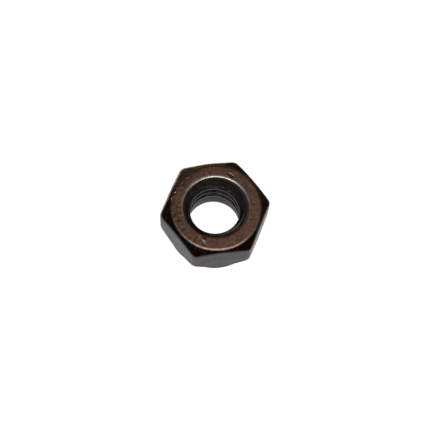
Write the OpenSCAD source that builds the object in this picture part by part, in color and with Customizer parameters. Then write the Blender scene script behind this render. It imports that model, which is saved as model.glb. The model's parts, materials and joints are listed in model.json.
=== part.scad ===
// Hexagon lock nut with a plastic ring: a steel body with a round collar, and the ring
// that the collar's rolled lip holds in. The thread axis is Z. The nut stands on its lip
// at z = 0, with the bearing face up.

/* [Hexagon] */
// Width across flats
across_flats = 13; // [12.8:0.05:13.2]
// Width across the rounded corners
across_corners = 14.64; // [14.2:0.02:14.76]
// Height from the lip to the bearing face
nut_h = 7.8; // [7.6:0.1:8]
// Diameter of the flat bearing face
bearing_d = 11.94; // [11.2:0.02:12.6]
// Slope of the corner chamfers below the bearing face, in degrees
chamfer_angle = 27.4; // [20:0.1:32]

/* [Thread] */
// Major diameter, at the thread's roots
major_d = 8; // [7.9:0.05:8.2]
// Minor diameter, at the thread's crests
minor_d = 6.65; // [6.65:0.05:6.9]
// Pitch
pitch = 1.25; // [1.1:0.05:1.25]
// Diameter of the countersink at the bearing face
countersink_d = 8.6; // [8.3:0.05:9.2]
// Included angle of the countersink, in degrees
countersink_angle = 90; // [80:5:120]

/* [Collar] */
// Diameter of the collar
collar_d = 12.75; // [12.4:0.05:12.9]
// Radius of the rolled edge under the collar
rolled_r = 1.65; // [1.4:0.05:1.8]
// Height at which the collar meets the shoulder
shoulder_z = 2.3; // [1.9:0.05:2.4]
// Slope of the shoulder from the collar to the corners, in degrees
shoulder_angle = 53; // [40:1:60]
// Diameter of the mouth inside the rolled lip
mouth_d = 8.9; // [8.6:0.05:9]
// Thickness of the lip under the ring
lip_t = 0.57; // [0.5:0.01:0.65]

/* [Ring] */
// Outer diameter of the ring and of its seat
ring_d = 10.6; // [10.4:0.05:10.8]
// Bore of the ring, smaller than the bolt's thread
ring_bore_d = 7.2; // [7.1:0.05:7.5]
// Height of the ring
ring_h = 2.3; // [2.1:0.05:2.4]
// Radius of the ring's edge where the lip is rolled over it
ring_edge_r = 0.5; // [0.3:0.05:0.6]
// Chamfer at both ends of the ring's bore
ring_chamfer = 0.15; // [0.05:0.05:0.25]

/* [Hidden] */
$fn = 96;

bearing_r = bearing_d / 2;
corner_r = across_corners / 2;
major_r = major_d / 2;
minor_r = minor_d / 2;
countersink_r = countersink_d / 2;
collar_r = collar_d / 2;
mouth_r = mouth_d / 2;
ring_r = ring_d / 2;
ring_bore_r = ring_bore_d / 2;

// how far cuts reach into each other
overlap = 0.1;

// radius of the lip's inner edge, and outer radius of the flat land that the nut stands on
lip_edge_r = 0.2;
land_r = collar_r - rolled_r;

// the shoulder starts a small step out from the collar
shoulder_step = 0.05;
shoulder_top_z = shoulder_z + (corner_r - collar_r - shoulder_step) * tan(shoulder_angle);
chamfer_z = nut_h - (corner_r - bearing_r) * tan(chamfer_angle);

seat_z = lip_t + ring_h;
thread_top_z = nut_h - (countersink_r - minor_r) / tan(countersink_angle / 2);

// 60 degree thread form: flat roots an eighth of the pitch wide
root_w = pitch / 8;
groove_w = root_w + 2 * (major_r - minor_r) * tan(30);
crest_w = pitch - groove_w;
groove_count = 1 + floor((thread_top_z - crest_w / 2 - groove_w - seat_z) / pitch);

// one ring groove of the thread, centred on z
module groove_profile(z) {
    polygon([
        [0, z - groove_w / 2],
        [minor_r, z - groove_w / 2],
        [major_r, z - root_w / 2],
        [major_r, z + root_w / 2],
        [minor_r, z + groove_w / 2],
        [0, z + groove_w / 2]
    ]);
}

// what a round lower edge takes off a square corner; x and z are the centre of its radius r
module edge_cut(x, z, r) {
    difference() {
        translate([x, z - r]) square([r + overlap, r]);
        translate([x, z]) circle(r = r);
    }
}

// half section of the body's outside, from the bearing face down to the rolled lip
module outside_profile() {
    difference() {
        polygon([
            [0, nut_h],
            [bearing_r, nut_h],
            [corner_r, chamfer_z],
            [corner_r, shoulder_top_z],
            [collar_r + shoulder_step, shoulder_z],
            [collar_r, shoulder_z],
            [collar_r, 0],
            [0, 0]
        ]);
        edge_cut(land_r, rolled_r, rolled_r);
    }
}

// half section of everything that is cut away inside: countersink, thread, seat and mouth
module inside_profile() {
    polygon([
        [0, nut_h],
        [countersink_r, nut_h],
        [minor_r, thread_top_z],
        [minor_r, seat_z - overlap],
        [0, seat_z - overlap]
    ]);
    for (i = [0 : groove_count - 1])
        groove_profile(thread_top_z - crest_w / 2 - groove_w / 2 - i * pitch);
    seat_profile();
    mouth_profile();
}

// half section of the mouth inside the lip, which flares at the lip's round inner edge
module mouth_profile() {
    square([mouth_r, lip_t + overlap]);
    difference() {
        square([mouth_r + lip_edge_r, lip_edge_r]);
        translate([mouth_r + lip_edge_r, lip_edge_r]) circle(r = lip_edge_r);
    }
}

// half section of the ring's seat, with the edge rounded as the ring is
module seat_profile() {
    translate([0, lip_t + ring_edge_r]) square([ring_r, ring_h - ring_edge_r]);
    translate([0, lip_t]) square([ring_r - ring_edge_r, ring_h]);
    translate([ring_r - ring_edge_r, lip_t + ring_edge_r]) circle(r = ring_edge_r);
}

// steel body: hexagon, collar, rolled lip, countersink and thread
module nut_body() {
    color("#2b2a2b")
        intersection() {
            rotate_extrude() difference() {
                outside_profile();
                inside_profile();
            }
            linear_extrude(nut_h) circle(d = across_flats / cos(30), $fn = 6);
        }
}

// polyamide ring that grips the bolt
module insert_ring() {
    color("#55565a")
        rotate_extrude() difference() {
            seat_profile();
            polygon([
                [0, lip_t],
                [ring_bore_r + ring_chamfer, lip_t],
                [ring_bore_r, lip_t + ring_chamfer],
                [ring_bore_r, seat_z - ring_chamfer],
                [ring_bore_r + ring_chamfer, seat_z],
                [0, seat_z]
            ]);
        }
}

nut_body();
insert_ring();
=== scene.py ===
"""Hexagon lock nut with a plastic ring: the steel body with its cut thread, the ring that the
rolled collar holds, and a light table to show them on. All lengths are metres."""

import json
import math

import bmesh
import bpy
import numpy as np
from mathutils import Matrix, Vector


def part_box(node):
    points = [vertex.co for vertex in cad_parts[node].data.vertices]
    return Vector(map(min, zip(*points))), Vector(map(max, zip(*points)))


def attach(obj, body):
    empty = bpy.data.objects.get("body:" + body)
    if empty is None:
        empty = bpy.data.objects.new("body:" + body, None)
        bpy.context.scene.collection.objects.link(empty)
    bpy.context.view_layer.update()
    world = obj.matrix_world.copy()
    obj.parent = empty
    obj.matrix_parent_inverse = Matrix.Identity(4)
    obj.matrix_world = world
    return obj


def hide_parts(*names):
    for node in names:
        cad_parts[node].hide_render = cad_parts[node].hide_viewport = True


bl_info = {
    "name": "Hexagon Lock Nut",
    "version": (1, 0, 0),
    "blender": (4, 5, 0),
    "location": "View3D > Sidebar > Lock Nut",
    "description": "Builds a black hexagon lock nut with a plastic ring around its CAD frame",
    "category": "Mesh",
}

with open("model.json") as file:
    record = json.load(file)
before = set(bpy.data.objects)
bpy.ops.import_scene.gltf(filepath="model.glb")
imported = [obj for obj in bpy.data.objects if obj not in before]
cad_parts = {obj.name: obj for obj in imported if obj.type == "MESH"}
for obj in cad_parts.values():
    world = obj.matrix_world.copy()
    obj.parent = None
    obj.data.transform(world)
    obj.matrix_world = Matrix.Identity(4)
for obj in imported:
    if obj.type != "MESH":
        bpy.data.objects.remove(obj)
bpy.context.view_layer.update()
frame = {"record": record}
BODY_LOW, BODY_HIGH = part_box("nut_body")
RING_LOW, RING_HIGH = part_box("insert_ring")
MOUNTS = {mount["name"]: mount for mount in frame["record"]["mounts"]}

MM = 0.001


# ---------------------------------------------------------------- colours and sizes


def linear(hex_colour):
    """An sRGB hex colour as a linear RGBA tuple."""
    channels = [int(hex_colour[i : i + 2], 16) / 255 for i in (1, 3, 5)]
    return (*[c / 12.92 if c <= 0.04045 else ((c + 0.055) / 1.055) ** 2.4 for c in channels], 1.0)


def length(name, description, default, largest=0.03):
    return bpy.props.FloatProperty(
        name=name, description=description, default=default, min=0.0, max=largest, unit="LENGTH"
    )


def angle(name, description, degrees):
    return bpy.props.FloatProperty(
        name=name, description=description, default=math.radians(degrees), subtype="ANGLE"
    )


def colour(name, description, hex_colour):
    return bpy.props.FloatVectorProperty(
        name=name, description=description, default=linear(hex_colour), size=4, subtype="COLOR",
        min=0.0, max=1.0,
    )


class LockNutSizes(bpy.types.PropertyGroup):
    height: length("Height", "From the lip to the bearing face", BODY_HIGH.z)
    flat_radius: length("Flat radius", "Half the width across flats", BODY_HIGH.y)
    corner_round: length("Corner round", "Radius of the six upright corners", 0.93 * MM)
    bearing_radius: length("Bearing radius", "Outer radius of the flat bearing face", 5.97 * MM)
    chamfer_slope: angle("Chamfer slope", "Slope of the corner chamfers", 27.4)
    face_offset: length("Face offset", "How far the turned face sits off the hexagon's axis", 0.12 * MM)
    minor_radius: length(
        "Minor radius", "Radius at the thread crests", MOUNTS["thread"]["dims"]["r_mm"] * MM
    )
    major_radius: length("Major radius", "Radius at the thread roots", 4.0 * MM)
    pitch: length("Pitch", "Pitch of the thread", 1.25 * MM)
    countersink_radius: length("Countersink radius", "At the bearing face", 4.3 * MM)
    collar_radius: length("Collar radius", "Outer radius of the collar", 6.375 * MM)
    rolled_round: length("Rolled round", "Radius of the edge rolled under the collar", 1.65 * MM)
    shoulder_z: length("Shoulder height", "Where the collar meets the shoulder", 2.3 * MM)
    shoulder_slope: angle("Shoulder slope", "Slope of the shoulder under the corners", 53)
    mouth_radius: length("Mouth radius", "Radius inside the rolled lip", 4.45 * MM)
    ring_radius: length("Ring radius", "Outer radius of the ring and its seat", RING_HIGH.x)
    ring_bore: length("Ring bore", "Radius of the ring's bore", 3.6 * MM)


class LockNutFinish(bpy.types.PropertyGroup):
    oxide: colour("Black oxide", "Forged and oxidised steel", "#585658")
    bronze: colour("Brown film", "Thin brown oxide on the bearing face", "#523e33")
    # dark film for the blotches, also painted towards one side of the bearing face as shade
    bronze_dark_and_shade: colour("Dark film", "Where the brown film is thick", "#30241d")
    chamfer: colour("Chamfer film", "Oxide on the corner chamfers", "#3d2e26")
    # steel for worn edges, also painted on the far rims as their highlight
    worn_and_highlit: colour("Worn edge", "Steel showing through at the edges", "#bebab6")
    # straw steel, painted on the edges of one side as their highlight and shown as wear on the
    # shoulder's edge
    straw_wear_and_highlight: colour("Straw edge", "Straw coloured film on the rubbed edges", "#c09c70")
    tapped: colour("Tapped thread", "Oxidised thread flanks", "#52504e")
    polyamide: colour("Polyamide", "Colour of the ring", "#2a2a2e")
    table: colour("Light table", "Colour of the floor", "#ffffff")


# ---------------------------------------------------------------- shared mesh work


def unit(vectors):
    return vectors / np.maximum(np.linalg.norm(vectors, axis=-1, keepdims=True), 1e-12)


class Corner:
    """One corner of a half section: where it is, how round it is and what the line after it is.

    r, z, round and wear may be numbers or one value per column (round as a column vector). wear is
    how much steel shows at the corner, as real wear and on some corners as a painted highlight; share
    is how much of the lines beside it the arc may take up. The arc has arc_zone and the line after it
    has zone.
    """

    def __init__(self, r, z, round=0.0, arc=4, line=1, zone=0, wear=0.0, share=0.45, arc_zone=None):
        self.r, self.z, self.round, self.arc = r, z, round, arc
        self.line, self.zone, self.wear, self.share = line, zone, wear, share
        self.arc_zone = zone if arc_zone is None else arc_zone


def rounded_section(corners, columns):
    """Rings (r, z, zone, wear) that follow the corners, each rounded by an arc."""
    points = [
        np.stack([np.broadcast_to(c.r, columns), np.broadcast_to(c.z, columns)], axis=-1).astype(float)
        for c in corners
    ]
    arcs = [[points[0]]]
    for before, point, after, corner in zip(points, points[1:], points[2:], corners[1:]):
        to_before, to_after = unit(before - point), unit(after - point)
        cosine = np.sum(to_before * to_after, axis=-1, keepdims=True)
        half = np.arccos(np.clip(cosine, -1, 1)) / 2
        room = np.minimum(
            np.linalg.norm(before - point, axis=-1), np.linalg.norm(after - point, axis=-1)
        )[:, None]
        reach = np.minimum(corner.round / np.tan(half), corner.share * room)
        centre = point + unit(to_before + to_after) * reach / np.cos(half)
        start, end = point + to_before * reach, point + to_after * reach
        turn = math.pi - 2 * half
        steps = corner.arc if np.any(corner.round) else 0
        arcs.append(
            [
                centre
                + ((start - centre) * np.sin((1 - s) * turn) + (end - centre) * np.sin(s * turn))
                / np.sin(turn)
                for s in (np.arange(steps + 1) / steps if steps else [])
            ]
            or [point]
        )
    arcs.append([points[-1]])
    rings = []
    for index, (corner, arc) in enumerate(zip(corners, arcs)):
        for k, ring in enumerate(arc):
            peak = math.sin(math.pi * k / (len(arc) - 1)) if len(arc) > 1 else 0.0
            zone = corner.zone if k == len(arc) - 1 else corner.arc_zone
            rings.append((ring, zone, corner.wear * peak))
        if index + 1 < len(corners):
            following = arcs[index + 1][0]
            for k in range(1, corner.line):
                share = (1 - math.cos(math.pi * k / corner.line)) / 2
                rings.append((arc[-1] + (following - arc[-1]) * share, corner.zone, 0.0))
    return rings


def ring_points(ring, angles):
    return np.stack([ring[:, 0] * np.cos(angles), ring[:, 0] * np.sin(angles), ring[:, 1]], axis=-1)


def band(lower, upper, zone, faces, zones):
    """Quads between two rows of vertex numbers, with the ones that have shrunk left out."""
    count = len(lower)
    for j in range(count):
        k = (j + 1) % count
        corners = list(dict.fromkeys((lower[j], lower[k], upper[k], upper[j])))
        if len(corners) > 2:
            faces.append(corners)
            zones.append(zone)


def new_piece(name, points, faces, zones, wear, materials):
    """A smooth closed mesh object with its zones as materials, and its wear and painted highlights as
    an attribute.
    """
    mesh = bpy.data.meshes.new(name)
    mesh.from_pydata([tuple(p) for p in points], [], faces)
    for material in materials:
        mesh.materials.append(material)
    mesh.polygons.foreach_set("material_index", zones)
    worn_and_highlit = mesh.attributes.new("wear", "FLOAT", "POINT")
    worn_and_highlit.data.foreach_set("value", np.asarray(wear, dtype=np.float32))
    work = bmesh.new()
    work.from_mesh(mesh)
    bmesh.ops.recalc_face_normals(work, faces=work.faces)
    loose = [vertex for vertex in work.verts if not vertex.link_faces]
    bmesh.ops.delete(work, geom=loose, context="VERTS")
    work.to_mesh(mesh)
    work.free()
    mesh.polygons.foreach_set("use_smooth", [True] * len(mesh.polygons))
    mesh.set_sharp_from_angle(angle=math.radians(48))
    piece = bpy.data.objects.new(name, mesh)
    bpy.context.scene.collection.objects.link(piece)
    return piece


# ---------------------------------------------------------------- shared node work

# how wide the ragged border of a worn edge is
RAGGED_BORDER = 0.35 * MM


def add_node(tree, kind, settings=None, links=None):
    """A node with its settings (a property's name, or a socket's name or number) and links."""
    made = tree.nodes.new(kind)
    for key, value in (settings or {}).items():
        if isinstance(key, str) and key in made.bl_rna.properties:
            setattr(made, key, value)
        else:
            made.inputs[key].default_value = value
    for key, source in (links or {}).items():
        tree.links.new(source, made.inputs[key])
    return made


def new_material(name):
    """A material with an empty tree and the coordinates of the piece in metres."""
    material = bpy.data.materials.new(name)
    material.use_nodes = True
    tree = material.node_tree
    tree.nodes.clear()
    place = add_node(tree, "ShaderNodeTexCoord").outputs["Object"]
    return material, tree, place


def finish_surface(tree, settings, links):
    shader = add_node(tree, "ShaderNodeBsdfPrincipled", settings, links)
    add_node(tree, "ShaderNodeOutputMaterial", links={"Surface": shader.outputs["BSDF"]})


def mottle(tree, place, size, low, high, start=0.0, end=1.0, detail=3.0, rough=0.5):
    """Irregular patches about size across, as a value that runs smoothly from start to end."""
    patches = add_node(
        tree,
        "ShaderNodeTexNoise",
        {"Scale": 1.0 / size, "Detail": detail, "Roughness": rough},
        {"Vector": place},
    ).outputs["Fac"]
    return add_node(
        tree,
        "ShaderNodeMapRange",
        {"interpolation_type": "SMOOTHSTEP", 1: low, 2: high, 3: start, 4: end},
        {0: patches},
    ).outputs[0]


def patchy_film(tree, place, size, light, dark, low=0.35, detail=3.0, rough=0.5):
    """A light film with dark patches about size across."""
    patches = mottle(tree, place, size, low, 0.7, detail=detail, rough=rough)
    return add_node(
        tree, "ShaderNodeMix", {"data_type": "RGBA", 6: light, 7: dark}, {0: patches}
    ).outputs[2]


def film_with_wear_and_highlight(tree, place, film, steel):
    """The film's colour, with the steel's colour where the edges are worn through and where steel is
    painted on as a highlight.
    """
    worn_and_highlit = add_node(tree, "ShaderNodeAttribute", {"attribute_name": "wear"}).outputs["Fac"]
    ragged = mottle(tree, place, RAGGED_BORDER, 0.3, 0.62, 0.35, 1.0, 4.0, 0.6)
    share = add_node(tree, "ShaderNodeMath", {"operation": "MULTIPLY"}, {0: worn_and_highlit, 1: ragged})
    return add_node(
        tree, "ShaderNodeMix", {"data_type": "RGBA", 7: steel}, {0: share.outputs[0], 6: film}
    ).outputs[2]


def tool_lines(tree, place, spacing, depth, strength):
    """Normals for the fine lines that a turning or tapping tool leaves around the axis.

    The real lines are 0.02 to 0.05 mm apart, too fine to show, so the spacings are coarser.
    """
    parts = add_node(tree, "ShaderNodeSeparateXYZ", links={0: place}).outputs
    flat = add_node(tree, "ShaderNodeCombineXYZ", links={0: parts["X"], 1: parts["Y"]})
    radius = add_node(tree, "ShaderNodeVectorMath", {"operation": "LENGTH"}, {0: flat.outputs[0]})
    turned = add_node(
        tree, "ShaderNodeCombineXYZ", links={0: radius.outputs["Value"], 2: parts["Z"]}
    )
    lines = add_node(
        tree,
        "ShaderNodeTexNoise",
        {"Scale": 1.0 / spacing, "Detail": 2.0, "Roughness": 0.5},
        {"Vector": turned.outputs[0]},
    )
    return add_node(
        tree,
        "ShaderNodeBump",
        {"Distance": depth, "Strength": strength},
        {"Height": lines.outputs["Fac"]},
    ).outputs["Normal"]


# ---------------------------------------------------------------- materials


def black_oxide_forged(finish):
    """Cold forged steel, blackened in a hot salt bath and oiled: near black, smooth and glossy,
    with fine scale that breaks the gloss a little."""
    material, tree, place = new_material("Black oxide on forged steel")
    film = patchy_film(tree, place, 1.6 * MM, finish.oxide, linear("#4c494b"))
    tint = film_with_wear_and_highlight(tree, place, film, finish.straw_wear_and_highlight)
    gloss = mottle(tree, place, 0.5 * MM, 0.3, 0.75, 0.24, 0.36)
    # real scale has grains of about 0.02 mm, drawn coarser so that they show
    grains = add_node(
        tree,
        "ShaderNodeTexNoise",
        {"Scale": 1.0 / (0.18 * MM), "Detail": 4.0, "Roughness": 0.5},
        {"Vector": place},
    )
    scale = add_node(
        tree,
        "ShaderNodeBump",
        {"Distance": 0.004 * MM, "Strength": 0.5},
        {"Height": grains.outputs["Fac"]},
    )
    finish_surface(
        tree,
        {"Metallic": 1.0, "Specular Tint": linear("#cccccc")},
        {"Base Color": tint, "Roughness": gloss, "Normal": scale.outputs["Normal"]},
    )
    return material


def brown_oxide_faced(finish):
    """Steel faced in a lathe before blackening: the fine rings left by the tool hold a thin brown
    film, blotched where it is thicker, and the rims show a little worn steel. The film is painted
    darker towards one side as shade, and steel is painted on the countersink's far rim as a highlight."""
    material, tree, place = new_material("Brown oxide film on faced steel")
    # painted shade: the film is darkened towards one side of the face, where the face lies darker in
    # the light
    across = add_node(
        tree, "ShaderNodeVectorMath", {"operation": "DOT_PRODUCT", 1: (0.9, -0.15, 0.0)}, {0: place}
    )
    shaded = add_node(
        tree,
        "ShaderNodeMapRange",
        {"interpolation_type": "SMOOTHSTEP", 1: -6 * MM, 2: 6 * MM, 3: 1.0, 4: 0.35},
        {0: across.outputs["Value"]},
    )
    blotches = mottle(tree, place, 1.0 * MM, 0.38, 0.62, detail=5.0, rough=0.7)
    grain = mottle(tree, place, 0.42 * MM, 0.42, 0.64, detail=4.0, rough=0.65)
    blotched_and_shaded = add_node(
        tree, "ShaderNodeMath", {"operation": "MULTIPLY"}, {0: blotches, 1: shaded.outputs[0]}
    )
    film = add_node(
        tree,
        "ShaderNodeMix",
        {"data_type": "RGBA", 6: finish.bronze, 7: finish.bronze_dark_and_shade},
        {0: blotched_and_shaded.outputs[0]},
    )
    lightened = add_node(
        tree, "ShaderNodeMath", {"operation": "MULTIPLY"}, {0: grain, 1: blotches}
    )
    film = add_node(
        tree,
        "ShaderNodeMix",
        {"data_type": "RGBA", 7: linear("#694c3b")},
        {0: lightened.outputs[0], 6: film.outputs[2]},
    )
    tint = film_with_wear_and_highlight(tree, place, film.outputs[2], finish.worn_and_highlit)
    gloss = mottle(tree, place, 0.4 * MM, 0.3, 0.7, 0.21, 0.31)
    rings = tool_lines(tree, place, 0.13 * MM, 0.012 * MM, 0.5)
    pits = mottle(tree, place, 0.28 * MM, 0.24, 0.5, detail=2.0)
    pitted = add_node(
        tree,
        "ShaderNodeBump",
        {"Distance": 0.006 * MM, "Strength": 0.4},
        {"Height": pits, "Normal": rings},
    )
    finish_surface(
        tree,
        {"Metallic": 1.0, "Specular Tint": linear("#f0d8bc")},
        {"Base Color": tint, "Roughness": gloss, "Normal": pitted.outputs["Normal"]},
    )
    return material


def dark_oxide_chamfered(finish):
    """Chamfers turned on the corners and blackened: a dark brown film, smoother than the face,
    so that it mirrors the room."""
    material, tree, place = new_material("Dark oxide on chamfered steel")
    film = patchy_film(
        tree, place, 0.9 * MM, finish.chamfer, linear("#271d19"), low=0.32, detail=4.0, rough=0.6
    )
    tint = film_with_wear_and_highlight(tree, place, film, finish.worn_and_highlit)
    gloss = mottle(tree, place, 0.5 * MM, 0.3, 0.75, 0.15, 0.21)
    rings = tool_lines(tree, place, 0.11 * MM, 0.004 * MM, 0.4)
    finish_surface(
        tree,
        {"Metallic": 1.0, "Specular Tint": linear("#e8c8a4")},
        {"Base Color": tint, "Roughness": gloss, "Normal": rings},
    )
    return material


def dark_oxide_countersunk(finish):
    """The cone that leads into the thread: cut by a countersink, blackened and wet with oil, the
    darkest part of the nut."""
    material, tree, place = new_material("Oiled oxide on countersunk steel")
    film = patchy_film(tree, place, 0.8 * MM, linear("#46413d"), linear("#322e2c"))
    tint = film_with_wear_and_highlight(tree, place, film, finish.worn_and_highlit)
    rings = tool_lines(tree, place, 0.08 * MM, 0.006 * MM, 0.4)
    finish_surface(
        tree,
        {"Metallic": 1.0, "Roughness": 0.3, "Specular Tint": linear("#c0b8b0")},
        {"Base Color": tint, "Normal": rings},
    )
    return material


def black_oxide_tapped(finish):
    """Thread cut by a tap and blackened: dark grey, with faint lines along the cut and crests
    that catch the light."""
    material, tree, place = new_material("Black oxide on tapped steel")
    film = patchy_film(tree, place, 0.7 * MM, finish.tapped, linear("#302e2c"))
    tint = film_with_wear_and_highlight(tree, place, film, finish.worn_and_highlit)
    lines = tool_lines(tree, place, 0.06 * MM, 0.006 * MM, 0.4)
    finish_surface(
        tree,
        {"Metallic": 1.0, "Roughness": 0.33, "Specular Tint": linear("#e4e4e4")},
        {"Base Color": tint, "Normal": lines},
    )
    return material


def black_oxide_rolled(finish):
    """Collar turned and then rolled over the ring: black oxide with fine lines around it."""
    material, tree, place = new_material("Black oxide on rolled steel")
    film = patchy_film(tree, place, 1.2 * MM, finish.oxide, linear("#403d3f"))
    tint = film_with_wear_and_highlight(tree, place, film, finish.worn_and_highlit)
    lines = tool_lines(tree, place, 0.09 * MM, 0.006 * MM, 0.5)
    finish_surface(
        tree,
        {"Metallic": 1.0, "Roughness": 0.34, "Specular Tint": linear("#acacac")},
        {"Base Color": tint, "Normal": lines},
    )
    return material


def turned_polyamide(finish):
    """Black polyamide turned to size: a soft satin plastic with faint turning lines."""
    material, tree, place = new_material("Turned black polyamide")
    cloud = mottle(tree, place, 0.9 * MM, 0.3, 0.7)
    tint = add_node(
        tree,
        "ShaderNodeMix",
        {"data_type": "RGBA", 6: finish.polyamide, 7: linear("#343438")},
        {0: cloud},
    )
    lines = tool_lines(tree, place, 0.1 * MM, 0.006 * MM, 0.4)
    gloss = mottle(tree, place, 0.3 * MM, 0.3, 0.7, 0.36, 0.48)
    finish_surface(
        tree,
        {"Metallic": 0.0, "IOR": 1.53, "Specular IOR Level": 0.1},
        {"Base Color": tint.outputs[2], "Roughness": gloss, "Normal": lines},
    )
    return material


def lit_opal_acrylic(finish):
    """Opal acrylic over lamps, the top of a light table: even white, with no shadow on it."""
    material, tree, _ = new_material("Lit opal acrylic")
    finish_surface(
        tree,
        {
            "Base Color": linear("#303030"),
            "Roughness": 0.6,
            "IOR": 1.49,
            "Emission Color": finish.table,
            "Emission Strength": 1.0,
        },
        {},
    )
    return material


# ---------------------------------------------------------------- steel body

COLUMNS = 480
HELIX_ROWS = 18
# how far below the bearing face the thread's rows end and the plain countersink goes on
COUNTERSINK_TOP = 0.32 * MM
FORGED, FACED, CHAMFERED, COUNTERSUNK, TAPPED, ROLLED = range(6)


def hexagon_radius(angles, sizes):
    """Distance from the axis to a hexagon with round corners, which lie at 0, 60, 120 degrees."""
    from_corner = np.abs((angles + math.pi / 6) % (math.pi / 3) - math.pi / 6)
    centre = (sizes.flat_radius - sizes.corner_round) / math.cos(math.pi / 6)
    side = sizes.flat_radius / np.cos(math.pi / 6 - from_corner)
    inside = np.maximum(sizes.corner_round**2 - (centre * np.sin(from_corner)) ** 2, 0)
    corner = centre * np.cos(from_corner) + np.sqrt(inside)
    ends = math.atan2(
        sizes.corner_round / 2, centre + sizes.corner_round * math.cos(math.pi / 6)
    )
    return np.where(from_corner < ends, corner, side)


def soft_max(a, b, width):
    return (a + b + np.sqrt((a - b) ** 2 + width**2)) / 2


def thread_radius(turn_height, sizes, soften=0.05 * MM):
    """Radius of the 60 degree thread at a height measured from the middle of a groove."""
    from_groove = np.abs((turn_height / sizes.pitch + 0.5) % 1 - 0.5) * sizes.pitch
    flank = sizes.major_radius - (from_groove - sizes.pitch / 16) / math.tan(math.pi / 6)
    crested = soft_max(flank, sizes.minor_radius, soften)
    return -soft_max(-crested, -sizes.major_radius, soften)


# how far above the bearing face a groove crosses the +X axis
THREAD_START = 0.967 * MM


def thread_and_cone(angles, z, sizes):
    """Radius of the thread and radius of the countersink, which opens it at the bearing face."""
    turn_height = z - sizes.height - THREAD_START - sizes.pitch * angles / math.tau
    cone = sizes.countersink_radius + sizes.face_offset * np.cos(angles) - (sizes.height - z)
    return thread_radius(turn_height, sizes), cone


def bore_radius(angles, z, sizes):
    return soft_max(*thread_and_cone(angles, z, sizes), 0.03 * MM)


def helix_steps(sizes):
    """Heights over one pitch, closest together where the profile bends."""
    half_groove = sizes.pitch / 16 + (sizes.major_radius - sizes.minor_radius) * math.tan(math.pi / 6)
    root, edge, half = sizes.pitch / 16, half_groove, sizes.pitch / 2
    bend = 0.04 * MM
    rising = [0, root, root + bend, (root + edge) / 2, edge - 2 * bend, edge - bend, edge, edge + bend]
    rising.append((edge + bend + half) / 2)
    falling = [sizes.pitch - z for z in reversed(rising[1:])]
    return np.array(rising + [half] + falling)


def stroke(x, y, start, end, wide, rise):
    """A dent (rise below zero) or a pushed up ridge along a line between two points."""
    (x0, y0), (x1, y1) = start, end
    length2 = (x1 - x0) ** 2 + (y1 - y0) ** 2
    along = ((x - x0) * (x1 - x0) + (y - y0) * (y1 - y0)) / max(length2, 1e-12)
    along = np.clip(along, 0, 1)
    gap = np.hypot(x - x0 - along * (x1 - x0), y - y0 - along * (y1 - y0)) / wide
    return rise * np.exp(-2 * gap**2)


# start, end, width and rise in mm: two plain punch marks, then knocks and pits
MARKS = (
    ((2.45, 4.50), (2.85, 3.98), 0.13, -0.12),
    ((2.62, 4.72), (3.02, 4.30), 0.12, 0.035),
    ((-2.06, -3.98), (-1.96, -4.12), 0.18, -0.15),
    ((-2.32, -4.28), (-1.98, -4.56), 0.12, 0.035),
    ((-2.62, -3.65), (-2.66, -4.20), 0.10, 0.02),
    ((-2.30, -4.75), (-2.05, -5.12), 0.11, -0.05),
    ((-5.55, 1.90), (-5.60, 1.70), 0.17, -0.12),
    ((-5.45, 2.15), (-5.40, 2.20), 0.12, 0.03),
    ((-5.06, 2.59), (-5.00, 2.65), 0.15, -0.05),
    ((-4.95, 2.85), (-4.90, 2.95), 0.12, 0.02),
    ((-3.85, 3.85), (-3.75, 3.80), 0.15, -0.02),
    ((-3.10, 4.55), (-3.30, 4.40), 0.18, -0.02),
    ((4.52, -2.20), (4.48, -2.28), 0.14, -0.025),
    ((4.45, -2.02), (4.40, -2.00), 0.10, 0.012),
    ((5.12, -0.12), (5.12, -0.05), 0.14, -0.03),
    ((1.45, -5.30), (1.60, -5.25), 0.14, -0.025),
    ((5.05, 1.85), (5.15, 1.80), 0.14, -0.025),
    ((-4.60, -2.30), (-4.55, -2.42), 0.14, -0.025),
)
CROWN = 0.02 * MM


def marks(x, y):
    """Change of height on the bearing face, which also falls off a little towards its rim."""
    change = -CROWN * np.clip(np.hypot(x, y) / MM - 5.0, 0, 1) ** 2
    for start, end, wide, rise in MARKS:
        change = change + stroke(x / MM, y / MM, start, end, wide, rise) * MM
    return change


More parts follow.
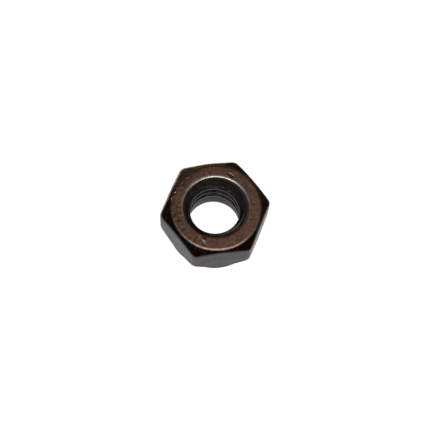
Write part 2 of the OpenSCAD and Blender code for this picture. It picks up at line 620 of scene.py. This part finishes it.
def body_corners(angles, sizes, bottom, top):
    """The body's half section, from the top of the thread outwards and round to its end."""
    hexagon = hexagon_radius(angles, sizes)
    z = sizes.height
    shift = sizes.face_offset * np.cos(angles)
    bearing = sizes.bearing_radius + shift
    chamfer_z = z - (hexagon - bearing) * math.tan(sizes.chamfer_slope)
    # the edges on one side are made rounder, and straw steel is painted on them as a highlight,
    # standing in for the light those edges catch
    rubbed_and_highlit = np.clip(2.2 * np.cos(angles - math.radians(118)) - 0.7, 0, 1)
    edge = (0.38 + 0.3 * rubbed_and_highlit[:, None]) * MM
    step = sizes.collar_radius + 0.05 * MM
    shoulder_z = sizes.shoulder_z + (hexagon - step) * math.tan(sizes.shoulder_slope)
    lip = 0.2 * MM
    return [
        Corner(bore_radius(angles, top, sizes), top, line=3, zone=COUNTERSUNK),
        Corner(sizes.countersink_radius + shift, z, 1.2 * MM, arc=12, line=20, zone=FACED),
        Corner(bearing, z, 0.8 * MM, arc=8, line=5, zone=CHAMFERED, wear=0.07, arc_zone=FACED),
        Corner(hexagon, chamfer_z, edge, arc=9, line=6, zone=FORGED, wear=0.06 + 0.94 * rubbed_and_highlit),
        Corner(hexagon, shoulder_z, 0.14 * MM, arc=4, line=4, zone=FORGED, wear=0.3),
        Corner(sizes.collar_radius, sizes.shoulder_z, 0.08 * MM, arc=3, line=3, zone=ROLLED),
        Corner(sizes.collar_radius, 0.0, sizes.rolled_round, arc=14, zone=ROLLED, share=0.88),
        Corner(sizes.mouth_radius, 0.0, lip, arc=5, line=3, zone=ROLLED, wear=0.4),
        Corner(sizes.mouth_radius, RING_LOW.z, line=3, zone=ROLLED),
        Corner(sizes.ring_radius, RING_LOW.z, 0.5 * MM, arc=5, line=3, zone=ROLLED),
        Corner(sizes.ring_radius, bottom, line=5, zone=ROLLED),
        Corner(bore_radius(angles, bottom, sizes), bottom),
    ]


def helix_grid(angles, sizes, bottom, top, points):
    """Rows of the thread that climb with its helix, as vertex numbers, cut level at both ends.

    Row k continues as row k + HELIX_ROWS after one turn.
    """
    steps = helix_steps(sizes)
    spacing = sizes.pitch / HELIX_ROWS
    datum = sizes.height + THREAD_START
    start = datum + ((bottom - datum) // sizes.pitch - 1) * sizes.pitch
    turns = math.ceil((top - start) / sizes.pitch) + 2
    first = len(points)
    low_row = np.arange(first, first + COLUMNS)
    high_row = np.arange(first + COLUMNS, first + 2 * COLUMNS)
    for z in (bottom, top):
        ring = np.stack([bore_radius(angles, z, sizes), np.full(COLUMNS, z)], axis=-1)
        points.extend(ring_points(ring, angles))
    rows = []
    for k in range(turns * HELIX_ROWS):
        z = start + (k // HELIX_ROWS) * sizes.pitch + steps[k % HELIX_ROWS]
        z = z + sizes.pitch * (angles / math.tau - 1)
        numbers = np.arange(len(points), len(points) + COLUMNS)
        ring = np.stack([bore_radius(angles, z, sizes), z], axis=-1)
        points.extend(ring_points(ring, angles))
        numbers = np.where(z <= bottom + spacing / 4, low_row, numbers)
        rows.append(np.where(z >= top - spacing / 4, high_row, numbers))
    return rows, low_row, high_row


def make_body(sizes, finish):
    angles = np.arange(COLUMNS) * math.tau / COLUMNS
    bottom, top = RING_HIGH.z, sizes.height - COUNTERSINK_TOP
    points, faces, zones = [], [], []

    rows, low_row, high_row = helix_grid(angles, sizes, bottom, top, points)
    x, y, z = np.array(points).T
    thread, cone = thread_and_cone(np.arctan2(y, x) % math.tau, z, sizes)
    on_cone = cone > thread - 0.02 * MM
    for k, row in enumerate(rows[: -HELIX_ROWS - 1]):
        lower = np.append(row, rows[k + HELIX_ROWS][0])
        upper = np.append(rows[k + 1], rows[k + 1 + HELIX_ROWS][0])
        for j in range(COLUMNS):
            corners = list(dict.fromkeys((lower[j], lower[j + 1], upper[j + 1], upper[j])))
            if len(corners) > 2:
                faces.append(corners)
                zones.append(COUNTERSUNK if on_cone[corners].all() else TAPPED)
    # the first ridge shows worn steel where it runs out into the countersink, a little all round; the
    # extra on one side is a painted highlight
    first_ridge = np.exp(-(((thread - cone) / (0.05 * MM)) ** 2)) * (z > top - 1.5 * MM)
    far_side = np.maximum(y, 0) / np.hypot(x, y)
    wear = list((0.2 + 0.7 * far_side) * first_ridge)

    rings = rounded_section(body_corners(angles, sizes, bottom, top), COLUMNS)
    last, last_zone = high_row, COUNTERSUNK
    for ring, zone, worn_and_highlit in rings[1:-1]:
        numbers = np.arange(len(points), len(points) + COLUMNS)
        points.extend(ring_points(ring, angles))
        wear.extend(np.broadcast_to(worn_and_highlit, COLUMNS))
        band(last, numbers, last_zone, faces, zones)
        last, last_zone = numbers, zone
    band(last, low_row, last_zone, faces, zones)

    points = np.array(points)
    radius = np.hypot(points[:, 0], points[:, 1])
    on_face = np.clip((points[:, 2] - sizes.height) / (0.35 * MM) + 1.1, 0, 1)
    change = on_face * marks(points[:, 0], points[:, 1])
    points[:, 2] += change
    wear = np.maximum(np.array(wear), np.clip(change / (0.04 * MM), 0, 1) * 0.5)
    # painted highlight: bright steel on the countersink's rim, on the same side, stands in for the
    # light the rim catches there
    rim = np.exp(-(((radius - sizes.countersink_radius - 0.12 * MM) / (0.18 * MM)) ** 2))
    side = 0.5 + 0.5 * np.cos(np.arctan2(points[:, 1], points[:, 0]) - math.radians(72))
    wear = np.maximum(wear, 0.5 * side**2 * rim * (points[:, 2] > sizes.height - 0.3 * MM))

    materials = [
        black_oxide_forged(finish),
        brown_oxide_faced(finish),
        dark_oxide_chamfered(finish),
        dark_oxide_countersunk(finish),
        black_oxide_tapped(finish),
        black_oxide_rolled(finish),
    ]
    return new_piece(
        "steel_nut_body", points, [[int(n) for n in f] for f in faces], zones, wear, materials
    )


# ---------------------------------------------------------------- ring

RING_COLUMNS = 240


def make_ring(sizes, finish):
    """The ring, a hair smaller than its seat, squeezed out a little in the mouth of the lip."""
    angles = np.arange(RING_COLUMNS) * math.tau / RING_COLUMNS
    gap, edge = 0.01 * MM, 0.15 * MM
    low, high = RING_LOW.z + gap, RING_HIGH.z - gap
    bore, outer = sizes.ring_bore, sizes.ring_radius - gap
    squeezed = low - 0.08 * MM
    start = Corner(bore, (low + high) / 2)
    rings = rounded_section(
        [
            start,
            Corner(bore, high, edge, arc=4, line=6),
            Corner(outer, high, 0.08 * MM, arc=3, line=4),
            Corner(outer, low, 0.5 * MM, arc=5, line=3),
            Corner(sizes.mouth_radius, low, 0.05 * MM, arc=2, line=2),
            Corner((bore + edge + sizes.mouth_radius) / 2, squeezed, 0.2 * MM, arc=5, line=3),
            Corner(bore, low, edge, arc=4, line=4),
            start,
        ],
        RING_COLUMNS,
    )[:-1]
    points, faces, zones, rows = [], [], [], []
    for ring, _, _ in rings:
        rows.append(np.arange(len(points), len(points) + RING_COLUMNS))
        points.extend(ring_points(ring, angles))
    for row, following in zip(rows, rows[1:] + rows[:1]):
        band(row, following, 0, faces, zones)
    return new_piece(
        "polyamide_ring",
        np.array(points),
        [[int(n) for n in f] for f in faces],
        zones,
        [0.0] * len(points),
        [turned_polyamide(finish)],
    )


# ---------------------------------------------------------------- stage

VIEW_ELEVATION = math.radians(68.3)
VIEW_AZIMUTH = math.radians(-13.8)
VIEW_ROLL = math.radians(6.0)
VIEW_DISTANCE = 0.135
FRAME_WIDTH = 0.05685
SENSOR_WIDTH = 36.0
FLOOR_WIDTH = 3.0
# where the middle of the view passes the middle of the bearing face
AIM_RIGHT, AIM_UP = -0.052 * MM, -1.058 * MM


def make_camera():
    face = Vector((0, 0, BODY_HIGH.z))
    back = Vector(
        (
            math.cos(VIEW_ELEVATION) * math.sin(VIEW_AZIMUTH),
            -math.cos(VIEW_ELEVATION) * math.cos(VIEW_AZIMUTH),
            math.sin(VIEW_ELEVATION),
        )
    )
    level = Vector((0, 0, 1)).cross(back).normalized()
    upright = back.cross(level)
    right = level * math.cos(VIEW_ROLL) + upright * math.sin(VIEW_ROLL)
    up = back.cross(right)
    place = face + back * VIEW_DISTANCE
    aim = face + right * AIM_RIGHT + up * AIM_UP
    back = (place - aim).normalized()
    right = up.cross(back).normalized()
    up = back.cross(right)
    data = bpy.data.cameras.new("camera")
    data.sensor_width = SENSOR_WIDTH
    data.lens = SENSOR_WIDTH * VIEW_DISTANCE / FRAME_WIDTH
    data.clip_start = 0.005
    data.clip_end = 10.0
    camera = bpy.data.objects.new("camera", data)
    turn = Matrix((right, up, back)).transposed()
    camera.matrix_world = Matrix.Translation(place) @ turn.to_4x4()
    bpy.context.scene.collection.objects.link(camera)
    bpy.context.scene.camera = camera


def make_floor(finish):
    mesh = bpy.data.meshes.new("light_table")
    half = FLOOR_WIDTH / 2
    corners = [(-half, -half, 0), (half, -half, 0), (half, half, 0), (-half, half, 0)]
    mesh.from_pydata(corners, [], [(0, 1, 2, 3)])
    mesh.materials.append(lit_opal_acrylic(finish))
    floor = bpy.data.objects.new("light_table", mesh)
    bpy.context.scene.collection.objects.link(floor)


def make_softbox(name, azimuth, elevation, distance, wide, high, radiance, tint):
    """A soft rectangular light that faces the nut; azimuth 0 is on the camera's far side."""
    data = bpy.data.lights.new(name, "AREA")
    data.shape = "RECTANGLE"
    data.size, data.size_y = wide, high
    data.energy = radiance * math.pi * wide * high
    data.color = linear(tint)[:3]
    light = bpy.data.objects.new(name, data)
    turn = math.radians(azimuth) - VIEW_AZIMUTH
    rise = math.radians(elevation)
    way = Vector((-math.sin(turn) * math.cos(rise), math.cos(turn) * math.cos(rise), math.sin(rise)))
    light.location = way * distance
    light.rotation_euler = way.to_track_quat("Z", "Y").to_euler()
    light.visible_camera = False
    bpy.context.scene.collection.objects.link(light)


# height above the horizon from and to, and the brightness there
HORIZON_GLOW = (0.0, 0.25, 0.3, 0.27)
CEILING_FADE = (0.3, 0.85, 1.0, 0.2)


def make_room():
    """The dim room around the light table, which the dark facets mirror."""
    world = bpy.data.worlds.new("dim_room")
    world.use_nodes = True
    tree = world.node_tree
    tree.nodes.clear()
    way = add_node(tree, "ShaderNodeTexCoord").outputs["Generated"]
    rise = add_node(tree, "ShaderNodeSeparateXYZ", links={0: way}).outputs["Z"]
    horizon, ceiling = (
        add_node(
            tree,
            "ShaderNodeMapRange",
            {"interpolation_type": "SMOOTHSTEP", 1: low, 2: high, 3: start, 4: end},
            {0: rise},
        ).outputs[0]
        for low, high, start, end in (HORIZON_GLOW, CEILING_FADE)
    )
    glow = add_node(tree, "ShaderNodeMath", {"operation": "MULTIPLY"}, {0: horizon, 1: ceiling})
    backdrop = add_node(
        tree,
        "ShaderNodeBackground",
        {"Color": linear("#ffffff")},
        {"Strength": glow.outputs[0]},
    )
    add_node(tree, "ShaderNodeOutputWorld", links={"Surface": backdrop.outputs[0]})
    scene = bpy.context.scene
    scene.world = world
    scene.view_settings.view_transform = "Standard"


# ---------------------------------------------------------------- operators and panel


class LOCKNUT_OT_stage(bpy.types.Operator):
    """Make the light table, the lights and the camera"""

    bl_idname = "locknut.stage"
    bl_label = "Light Table"

    def execute(self, context):
        make_camera()
        make_room()
        make_floor(context.scene.locknut_finish)
        make_softbox("overhead_softbox", 0, 85, 0.5, 0.46, 0.44, 0.95, "#ffffff")
        make_softbox("key_softbox", 164, 80, 0.49, 0.36, 0.20, 5.0, "#ffffff")
        make_softbox("far_panel", 0, 14, 0.5, 0.60, 0.22, 0.55, "#ffffff")
        return {"FINISHED"}


class LOCKNUT_OT_body(bpy.types.Operator):
    """Make the steel body with its thread, collar and rolled lip"""

    bl_idname = "locknut.body"
    bl_label = "Steel Body"

    def execute(self, context):
        body = make_body(context.scene.locknut_sizes, context.scene.locknut_finish)
        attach(body, "root")
        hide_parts("nut_body")
        return {"FINISHED"}


class LOCKNUT_OT_ring(bpy.types.Operator):
    """Make the polyamide ring that grips the bolt"""

    bl_idname = "locknut.ring"
    bl_label = "Polyamide Ring"

    def execute(self, context):
        ring = make_ring(context.scene.locknut_sizes, context.scene.locknut_finish)
        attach(ring, "root")
        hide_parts("insert_ring")
        return {"FINISHED"}


STEPS = (LOCKNUT_OT_stage, LOCKNUT_OT_body, LOCKNUT_OT_ring)


class LOCKNUT_PT_panel(bpy.types.Panel):
    bl_idname = "LOCKNUT_PT_panel"
    bl_label = "Lock Nut"
    bl_space_type = "VIEW_3D"
    bl_region_type = "UI"
    bl_category = "Lock Nut"

    def draw(self, context):
        for group in (context.scene.locknut_sizes, context.scene.locknut_finish):
            for name in group.__annotations__:
                self.layout.prop(group, name)
        for step in STEPS:
            self.layout.operator(step.bl_idname)


CLASSES = (LockNutSizes, LockNutFinish, *STEPS, LOCKNUT_PT_panel)


def register():
    for cls in CLASSES:
        bpy.utils.register_class(cls)
    bpy.types.Scene.locknut_sizes = bpy.props.PointerProperty(type=LockNutSizes)
    bpy.types.Scene.locknut_finish = bpy.props.PointerProperty(type=LockNutFinish)


def unregister():
    del bpy.types.Scene.locknut_finish
    del bpy.types.Scene.locknut_sizes
    for cls in reversed(CLASSES):
        bpy.utils.unregister_class(cls)


def main():
    register()
    bpy.ops.locknut.stage()
    bpy.ops.locknut.body()
    bpy.ops.locknut.ring()


if __name__ == "__main__":
    main()
